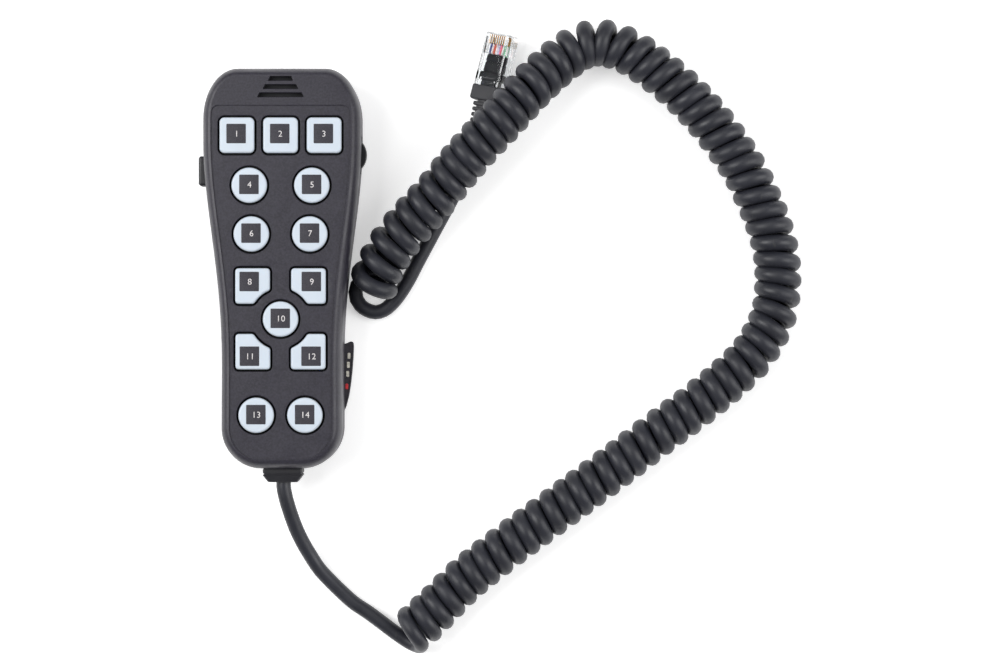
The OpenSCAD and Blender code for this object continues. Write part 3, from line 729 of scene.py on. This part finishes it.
def gland_cutter():
    """The gland's hole, which both shells share."""
    bm = bmesh.new()
    turned(bm, [(GLAND_HOLE_R, -3 * MM), (GLAND_HOLE_R, 3 * MM)], 0, 0, 64)
    return finished("gland_cutter", bm, place=AT_FOOT, weighted=False)


def make_rear_case():
    """The rear shell: a lofted skin with a flat back, screw posts, clamp posts and the insert's boss."""
    bm = bmesh.new()
    heights = [(REAR_EDGE[1] * down, REAR_EDGE[0] * across) for across, down in reversed(rounding(1, 12))]
    heights += [(SEAM_Z - 0.25 * MM, 0), (SEAM_Z, 0.25 * MM)]
    skin = [ring(bm, outline(inset), z) for z, inset in heights]
    strips(bm, skin)
    inside = [ring(bm, outline(WALL), z) for z in (SEAM_Z, WALL)]
    strips(bm, [skin[-1], *inside])
    back_holes, floor_holes = [], []
    for x, y in CASE_POSTS:
        # The mouth in the back, the seat of the screw's head, the bore, and the post's outside
        steps = [(3.05, 0), (2.87, 0.08), (2.8, 0.25), (2.8, 3), (1.5, 3), (1.5, 13), (3.2, 13), (3.2, 2.2)]
        rings = [ring(bm, circle(x, y, r * MM, 48), z * MM) for r, z in steps]
        strips(bm, rings)
        back_holes.append(rings[0])
        floor_holes.append(rings[-1])
    steps = [(3.05, 0), (2.8, 0.25), (2.8, 6.3)]
    mouth = [ring(bm, circle(0, INSERT_Y, r * MM, 48), z * MM) for r, z in steps]
    strips(bm, mouth)
    plate(bm, mouth[-1])
    back_holes.append(mouth[0])
    boss = [ring(bm, circle(0, INSERT_Y, 4.6 * MM, 48), z * MM) for z in (2.2, 8.5)]
    strips(bm, boss)
    plate(bm, boss[-1])
    floor_holes.append(boss[0])
    for x in (-6 * MM, 6 * MM):
        steps = [(2, 2.2), (2, 16), (0.8, 16), (0.8, 8)]
        post = [ring(bm, circle(x, CLAMP_Y, r * MM, 48), z * MM) for r, z in steps]
        strips(bm, post)
        plate(bm, post[-1])
        floor_holes.append(post[0])
    plate(bm, skin[0], back_holes)
    plate(bm, inside[-1], floor_holes)
    shell = finished("rear_shell", bm, case_look, weighted=False)
    wheel_slot = block("wheel_slot", (24.9 * MM, 37.7 * MM, 8.1 * MM), (42 * MM, 52.7 * MM, 14 * MM))
    carve(shell, button_cutter(), gland_cutter(), wheel_slot)
    shade(shell)
    return shell


def key_loops(loop, steps, bm):
    """Rings of an outline, grown by an amount at each height; steps is [(z, amount), ...]."""
    return [ring(bm, grown(loop, grow), z) for z, grow in steps]


def make_key(i):
    """A silicone key with a stem and a softly rounded top edge; its skirt and flange are painted near-black
    as shade in the gap round the key.
    """
    bm = bmesh.new()
    loop = key_outline(KEYS[i])
    steps = [(22.6 * MM, 1.2 * MM), (22.8 * MM, 1.4 * MM), (23.7 * MM, 1.4 * MM), (23.9 * MM, 1.2 * MM),
             (23.9 * MM, 0.3 * MM), (24.2 * MM, 0), (26.3 * MM, 0)]
    skirt = len(steps)
    steps += [(KEY_TOP_Z - down, -across) for across, down in rounding(KEY_EDGE_R, 7)]
    rings = key_loops(loop, steps, bm)
    # Material 1 is the painted shade on the skirt, the flange and the side walls below the face.
    strips(bm, rings[:skirt], 1)
    strips(bm, rings[skirt - 1:])
    plate(bm, rings[0], material=1)
    plate(bm, rings[-1])
    turned(bm, [(2.2 * MM, 18.8 * MM), (2.4 * MM, 19 * MM), (2.4 * MM, 22.7 * MM)], *KEYS[i][:2])
    return finished(f"key_{i + 1}_cap", bm, key_look, skirt_painted_shade_look, smooth_angle=50)


def add_digits(bm, text, x, y, z, material):
    """Flat raised digits, centred on (x, y)."""
    font = bpy.data.curves.new("digits", "FONT")
    font.body = text
    font.size = DIGIT_HEIGHT / DIGIT_SHARE
    font.align_x = "CENTER"
    font.align_y = "CENTER"
    font.extrude = 0.015 * MM
    font.space_character = 1.08
    holder = bpy.data.objects.new("digits", font)
    mesh = bpy.data.meshes.new_from_object(holder)
    mesh.transform(Matrix.Translation((x, y, z)))
    first = len(bm.faces)
    bm.from_mesh(mesh)
    bm.faces.ensure_lookup_table()
    for face in bm.faces[first:]:
        face.material_index = material
    bpy.data.objects.remove(holder)


def add_slab(bm, loop, low, high, lip, material=0):
    """A flat piece with this outline and a rounded upper edge."""
    steps = [(low, 0)] + [(high - down, -across) for across, down in rounding(lip, 3)]
    rings = key_loops(loop, steps, bm)
    strips(bm, rings, material)
    plate(bm, rings[0], material=material)
    plate(bm, rings[-1], material=material)


def make_print(i):
    """The dark square printed on a key, with the key's number."""
    bm = bmesh.new()
    x, y = print_place(KEYS[i])
    top = KEY_TOP_Z + 0.035 * MM
    add_slab(bm, rounded_box(x, y, PRINT_SIZE, PRINT_SIZE, 0.35 * MM), KEY_TOP_Z - 0.1 * MM, top, 0.02 * MM)
    add_digits(bm, str(i + 1), x + 0.2 * MM, y - 0.2 * MM, top + 0.012 * MM, 1)
    return finished(f"key_{i + 1}_print", bm, print_look, digit_look, weighted=False)


front_shell = make_front_case()
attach(front_shell, "handset")
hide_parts("front_case")

rear_shell = make_rear_case()
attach(rear_shell, "handset")
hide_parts("rear_case")

for i in range(len(KEYS)):
    body = f"key_{i + 1}"
    cap = make_key(i)
    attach(cap, body)
    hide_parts(body)
    label = make_print(i)
    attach(label, body)

# ---------------------------------------------------------------------------------------------------------
# Side controls and badge
# ---------------------------------------------------------------------------------------------------------
BUTTON_Y = 38.7 * MM
BUTTON_HALF = 5.9 * MM
BUTTON_REACH = 33.5 * MM
WHEEL_PLACE = (24.9 * MM, 45.2 * MM)
WHEEL_R = 8 * MM
WHEEL_TEETH = 90
TOOTH_DEPTH = 0.25 * MM
WHEEL_Z = (8.6 * MM, 12.6 * MM)
BADGE_POINTS = [(x * MM, y * MM) for x, y in [
    (22.4, -29.6), (24, -29.6), (26, -28.6), (26.8, -28.5), (27.3, -29.3), (27.4, -30.6), (27.2, -35),
    (26.8, -40.4), (26.2, -45.8), (25.5, -50.2), (24.4, -54.5), (23.2, -57.2), (22.4, -57.2)]]
BADGE_Z = (4.2 * MM, 6 * MM)


def add_block(bm, low, high, bevel, segments):
    """A box from low to high with rounded edges."""
    low, high = Vector(low), Vector(high)
    place = Matrix.Translation((low + high) / 2) @ Matrix.Diagonal((*(high - low), 1))
    made = bmesh.ops.create_cube(bm, size=1, matrix=place)
    edges = list({edge for corner in made["verts"] for edge in corner.link_edges})
    bmesh.ops.bevel(bm, geom=edges, offset=bevel, segments=segments, profile=0.5, affect="EDGES")


def make_button():
    """The talk button: a pad with rounded edges, a flange inside the case and a nose for the plunger."""
    bm = bmesh.new()
    add_block(bm, (-BUTTON_REACH, BUTTON_Y - BUTTON_HALF, 6.4 * MM),
              (-26.5 * MM, BUTTON_Y + BUTTON_HALF, 15 * MM), 1.1 * MM, 5)
    add_block(bm, (-26.6 * MM, BUTTON_Y - BUTTON_HALF - 1.4 * MM, 5.4 * MM),
              (-25.4 * MM, BUTTON_Y + BUTTON_HALF + 1.4 * MM, 15.1 * MM), 0.2 * MM, 2)
    for k in range(3):
        y = BUTTON_Y + (k - 1) * 2.6 * MM
        add_block(bm, (-BUTTON_REACH, y - 0.4 * MM, 8.2 * MM),
                  (0.8 * MM - BUTTON_REACH, y + 0.4 * MM, 13.2 * MM), 0.25 * MM, 3)
    button = finished("talk_pad", bm, button_look)
    nose = bmesh.new()
    turned(nose, [(1.6 * MM, 0), (1.6 * MM, 0.9 * MM), (1.5 * MM, 1 * MM)], 0, 0)
    nose.transform(Matrix.Translation((-25.4 * MM, BUTTON_Y, 13 * MM)) @ Matrix.Rotation(math.pi / 2, 4, "Y"))
    tip = finished("talk_nose", nose, button_look)
    return button, tip


def make_wheel():
    """The finely knurled gain wheel, with a chamfered rim and a relief in its lower face."""
    bm = bmesh.new()
    x, y = WHEEL_PLACE
    count = WHEEL_TEETH * 6

    def rim(r):
        loop = []
        for k in range(count):
            a = 2 * math.pi * k / count
            depth = TOOTH_DEPTH * (0.5 - 0.5 * math.cos(WHEEL_TEETH * a)) ** 0.7
            loop.append((x + (r - depth) * math.cos(a), y + (r - depth) * math.sin(a)))
        return loop

    edge = 0.4 * MM
    rings = [ring(bm, rim(r), z) for r, z in (
        (WHEEL_R - edge, WHEEL_Z[0]), (WHEEL_R, WHEEL_Z[0] + edge), (WHEEL_R, WHEEL_Z[1] - edge),
        (WHEEL_R - edge, WHEEL_Z[1]))]
    strips(bm, rings)
    bore = [ring(bm, circle(x, y, r * MM, 48), z) for r, z in (
        (2.2, WHEEL_Z[1]), (2.0, WHEEL_Z[1] - 0.2 * MM), (2.0, WHEEL_Z[0]))]
    strips(bm, bore)
    relief = [ring(bm, circle(x, y, r * MM, 48), WHEEL_Z[0] + up * MM) for r, up in (
        (5.8, 0), (5.6, 1), (3.6, 1), (3.4, 0))]
    strips(bm, relief)
    plate(bm, rings[-1], [bore[0]])
    plate(bm, rings[0], [relief[0]])
    plate(bm, relief[-1], [bore[-1]])
    return finished("gain_wheel_knurled", bm, wheel_look, smooth_angle=40)


def make_badge():
    """The leaf-shaped side plate with a raised rim, pale dashes and a red dash."""
    bm = bmesh.new()
    loop = softened(BADGE_POINTS, 0.4 * MM, 2)
    low, high = BADGE_Z
    rings = [ring(bm, grown(loop, -inset), z) for z, inset in (
        (low, 0.3 * MM), (low + 0.3 * MM, 0), (high - 0.25 * MM, 0), (high, 0.25 * MM), (high, 0.55 * MM),
        (high - 0.15 * MM, 0.65 * MM))]
    strips(bm, rings)
    plate(bm, rings[0])
    plate(bm, rings[-1])
    face = high - 0.15 * MM
    for y, length, material in ((-34.4, 2.4, 1), (-38, 2.4, 1), (-41.6, 2.4, 1), (-46.6, 2.2, 2)):
        x = 25.4 + (y + 34.4) * 0.07
        bar = rounded_box(x * MM, y * MM, 1.1 * MM, length * MM, 0.3 * MM)
        add_slab(bm, bar, face - 0.1 * MM, face + 0.05 * MM, 0.03 * MM, material)
    return finished("badge_plate", bm, badge_look, badge_pale, badge_red)


talk_pad, talk_nose = make_button()
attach(talk_pad, "talk_button")
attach(talk_nose, "talk_button")
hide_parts("talk_button")

wheel = make_wheel()
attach(wheel, "gain_wheel")
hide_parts("gain_wheel")

badge = make_badge()
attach(badge, "handset")
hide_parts("side_badge")

# ---------------------------------------------------------------------------------------------------------
# Gland
# ---------------------------------------------------------------------------------------------------------
GLAND_SIZE = (15.6 * MM, 11.6 * MM)


def make_gland():
    """The moulded gland: a square collar, a groove, and a second collar with cut corners."""
    bm = bmesh.new()
    width, height = GLAND_SIZE
    steps = [
        (0, 0.4, 0.4), (0.35, 0.05, 0.05), (1.6, 0, 0), (2.1, 0.15, 0.15), (2.2, 0.4, 0.4), (2.45, 0.4, 0.4),
        (2.55, 0.15, 0.15), (2.8, 0, 0), (3.0, 0.1, 0.1), (5.3, 1.8, 1.3), (5.5, 2.0, 1.5), (5.6, 2.3, 1.8),
    ]
    rings = [ring(bm, rounded_box(0, 0, width - 2 * side * MM, height - 2 * edge * MM, 1 * MM), distance * MM)
             for distance, side, edge in steps]
    strips(bm, rings)
    plate(bm, rings[0])
    plate(bm, rings[-1])
    turned(bm, [(6.1 * MM, -3.7 * MM), (6.3 * MM, -3.5 * MM), (6.3 * MM, -2.2 * MM), (5 * MM, -2.2 * MM),
                (5 * MM, 0.1 * MM)], 0, 0, 48)
    return finished("gland_collar", bm, gland_look, place=AT_FOOT)


gland = make_gland()
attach(gland, "handset")
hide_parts("cable_gland")

# ---------------------------------------------------------------------------------------------------------
# Plug
# ---------------------------------------------------------------------------------------------------------
PLUG_PLACE = (81.6 * MM, 72.6 * MM, 6.8 * MM)
AT_PLUG = (Matrix.Translation(PLUG_PLACE) @ Matrix.Rotation(math.radians(-14), 4, "Z")
           @ Matrix.Rotation(math.radians(-34), 4, "Y"))
# Local +Z runs along the plug to its nose, local +X to its right and local +Y down.
ALONG_PLUG = AT_PLUG @ Matrix.Rotation(-math.pi / 2, 4, "X")
PLUG_SIZE = (11.68 * MM, 21.46 * MM, 6.6 * MM)
CONTACT_PITCH = 1.02 * MM


def loft(bm, sections):
    """A solid through rounded boxes, each (distance, width, height, corner radius) in millimetres."""
    rings = [ring(bm, rounded_box(0, 0, w * MM, h * MM, r * MM, 5), d * MM) for d, w, h, r in sections]
    strips(bm, rings)
    plate(bm, rings[0])
    plate(bm, rings[-1])


def make_plug_body():
    """The clear body: rounded edges, a stepped nose, a cavity for the cord and a slot for each contact."""
    width, length, height = PLUG_SIZE
    bm = bmesh.new()
    add_block(bm, (-width / 2, 0, -height / 2), (width / 2, length, height / 2), 0.25 * MM, 2)
    body = finished("plug_shell", bm, clear_look, weighted=False)
    cutters = [
        block("cavity", (-4.6 * MM, -1 * MM, -2.3 * MM), (4.6 * MM, 13.2 * MM, 2.3 * MM), 0.2 * MM, 2),
        block("wide_cavity", (-5.4 * MM, 2.2 * MM, -2.3 * MM), (5.4 * MM, 5.8 * MM, 2.3 * MM), 0.2 * MM, 2),
        block("wire_bay", (-4.15 * MM, 12.9 * MM, -0.55 * MM), (4.15 * MM, 17.4 * MM, 0.55 * MM)),
    ]
    for k in range(8):
        x = (k - 3.5) * CONTACT_PITCH
        low, high = (x - 0.26 * MM, 16.9 * MM, -0.3 * MM), (x + 0.26 * MM, 20.7 * MM, 4 * MM)
        cutters.append(block("slot", low, high))
    for side in (-1, 1):
        low = min(side * 5.5 * MM, side * 7 * MM)
        cutters.append(block("shoulder", (low, 19.6 * MM, -4 * MM), (low + 1.5 * MM, 23 * MM, 4 * MM)))
    cutters.append(block("window", (-3.6 * MM, 1.6 * MM, 2 * MM), (3.6 * MM, 3.2 * MM, 4 * MM)))
    carve(body, *cutters)
    body.data.transform(AT_PLUG)
    shade(body, 30)
    return body


def make_plug_wires():
    """The eight coloured wires between the pressed jacket and the contacts."""
    colours = [(0.05, 0.06, 0.2), (0.72, 0.7, 0.71), (0.62, 0.12, 0.07), (0.75, 0.66, 0.66),
               (0.6, 0.58, 0.72), (0.66, 0.13, 0.2), (0.72, 0.72, 0.7), (0.2, 0.42, 0.27)]
    looks = [moulded(f"wire_{k + 1}", colour, 0.4, depth=0.004 * MM) for k, colour in enumerate(colours)]
    bm = bmesh.new()
    for k in range(8):
        profile = [(r * MM, z * MM) for r, z in ((0.44, 12.6), (0.48, 12.8), (0.48, 17.2), (0.4, 17.4))]
        turned(bm, profile, (k - 3.5) * CONTACT_PITCH, 0, 20, k)
    return finished("plug_wires_coloured", bm, *looks, place=ALONG_PLUG)


def make_boot():
    """The boot: a hood over the plug's tail, and a neck of separate ribs."""
    bm = bmesh.new()
    hood = [(-6.0, 10.8, 7.0, 1.0), (-5.8, 11.6, 7.6, 1.0), (-5.4, 12.1, 7.9, 1.0), (-5.0, 12.2, 8.0, 1.0),
            (-0.6, 12.2, 8.0, 1.0), (-0.3, 12.1, 7.9, 1.0), (-0.1, 11.8, 7.6, 0.9)]
    mouth = [(-0.1, 11.7, 6.65, 0.3), (-0.6, 11.7, 6.65, 0.3)]
    loft(bm, hood + mouth)
    loft(bm, [(d, w, w, 2.4) for d, w in ((-17.4, 5.9), (-17.0, 6.3), (-5.9, 6.5))])
    for k in range(5):
        end = -6.8 - 2.2 * k
        wide = 8.2 - 0.18 * k
        rib = [(-1.5, 0.5), (-1.3, 0.1), (-1.1, 0), (-0.4, 0), (-0.2, 0.1), (0, 0.5)]
        loft(bm, [(end + d, wide - c, wide - 0.5 - c, 1.5) for d, c in rib])
    return finished("boot_ribbed", bm, boot_look, place=ALONG_PLUG)


def make_jacket():
    """The cord's jacket inside the plug: squeezed flat, with a broad collar and two pressed bands."""
    bm = bmesh.new()
    loft(bm, [
        (-3.6, 6.4, 3.6, 1.2), (0.2, 7.8, 3.9, 1.2), (2.2, 7.8, 3.9, 1.2), (2.4, 10.0, 4.1, 1.0),
        (2.6, 10.5, 4.3, 1.0), (5.2, 10.5, 4.3, 1.0), (5.5, 10.0, 4.1, 1.0), (5.7, 8.2, 3.7, 1.1),
        (6.0, 8.0, 3.7, 1.1), (6.2, 8.4, 4.0, 1.2), (9.4, 8.0, 4.0, 1.2), (9.7, 7.6, 3.7, 1.1),
        (10.0, 7.6, 3.7, 1.1), (10.2, 8.0, 4.0, 1.1), (12.5, 7.8, 3.9, 1.1), (12.9, 7.2, 3.6, 1.0),
    ])
    return finished("jacket_pressed", bm, jacket_look, place=ALONG_PLUG)


plug_body = make_plug_body()
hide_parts("plug_body")

plug_wires = make_plug_wires()
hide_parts("plug_wires")

plug_boot = make_boot()
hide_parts("plug_boot")

plug_jacket = make_jacket()
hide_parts("plug_jacket")

for piece in (plug_body, plug_wires, plug_boot, plug_jacket):
    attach(piece, "handset")

# ---------------------------------------------------------------------------------------------------------
# Finishes of the CAD parts that stay as they are
# ---------------------------------------------------------------------------------------------------------
FINISHES = {
    "case_seal": seal_look, "mic_boot": seal_look, "cord_inner_end": cord_look,
    "case_screws": steel_look, "board_screws": steel_look, "clamp_screws": steel_look,
    "cord_clamp": steel_look, "wheel_screw": steel_look, "key_domes": steel_look,
    "hanger_insert": brass_look, "gain_shaft": brass_look,
    "keypad_mat": mat_shade_look, "circuit_board": board_look,
    "controller_chip": chip_look, "talk_switch": chip_look, "gain_pot": chip_look,
    "board_socket": socket_look, "talk_plunger": socket_look, "inner_wires": socket_look,
    "backlight_leds": lens_look, "mic_capsule": can_look, "mic_mesh": cloth_look,
    "mic_leads": gold_look, "plug_contacts": gold_look, "plug_latch": clear_look,
}
for name, look in FINISHES.items():
    paint(nodes[name], look)

# ---------------------------------------------------------------------------------------------------------
# Floor and light
# ---------------------------------------------------------------------------------------------------------
FLOOR_HALF = 2
floor_look = Surface("floor_paper", (0.93, 0.93, 0.93), 0.9)
floor_look.shader.inputs["Emission Color"].default_value = (1, 1, 1, 1)
floor_look.shader.inputs["Emission Strength"].default_value = 0.45
floor_look.bump(floor_look.noise(0.6 * MM, 3), 0.01 * MM)


def make_floor():
    """A square sheet just under the model."""
    bm = bmesh.new()
    half = FLOOR_HALF
    corners = ring(bm, [(-half, -half), (half, -half), (half, half), (-half, half)], -0.05 * MM)
    bm.faces.new(corners)
    floor = finished("floor", bm, floor_look, weighted=False)
    floor.location = (CAMERA_PLACE[0], CAMERA_PLACE[1], 0)
    return floor


def add_softbox(name, place, size, power):
    """A rectangular soft light that points at the middle of the model."""
    lamp = bpy.data.lights.new(name, "AREA")
    lamp.shape = "RECTANGLE"
    lamp.size, lamp.size_y = size
    lamp.energy = power
    holder = bpy.data.objects.new(name, lamp)
    holder.location = Vector((CAMERA_PLACE[0], CAMERA_PLACE[1], 0)) + Vector(place)
    holder.rotation_euler = Vector(place).to_track_quat("Z", "Y").to_euler()
    scene.collection.objects.link(holder)


make_floor()
add_softbox("left_box", (-1.0, 0.25, 1.05), (0.7, 1.3), 16)
add_softbox("right_box", (1.05, 0, 0.8), (0.8, 1.3), 11)
add_softbox("top_box", (0, 0.9, 1.3), (1.2, 0.6), 3)

world = bpy.data.worlds.new("studio")
world.use_nodes = True
world.node_tree.nodes["Background"].inputs["Color"].default_value = (1, 1, 1, 1)
world.node_tree.nodes["Background"].inputs["Strength"].default_value = 0.25
scene.world = world
scene.view_settings.view_transform = "Standard"
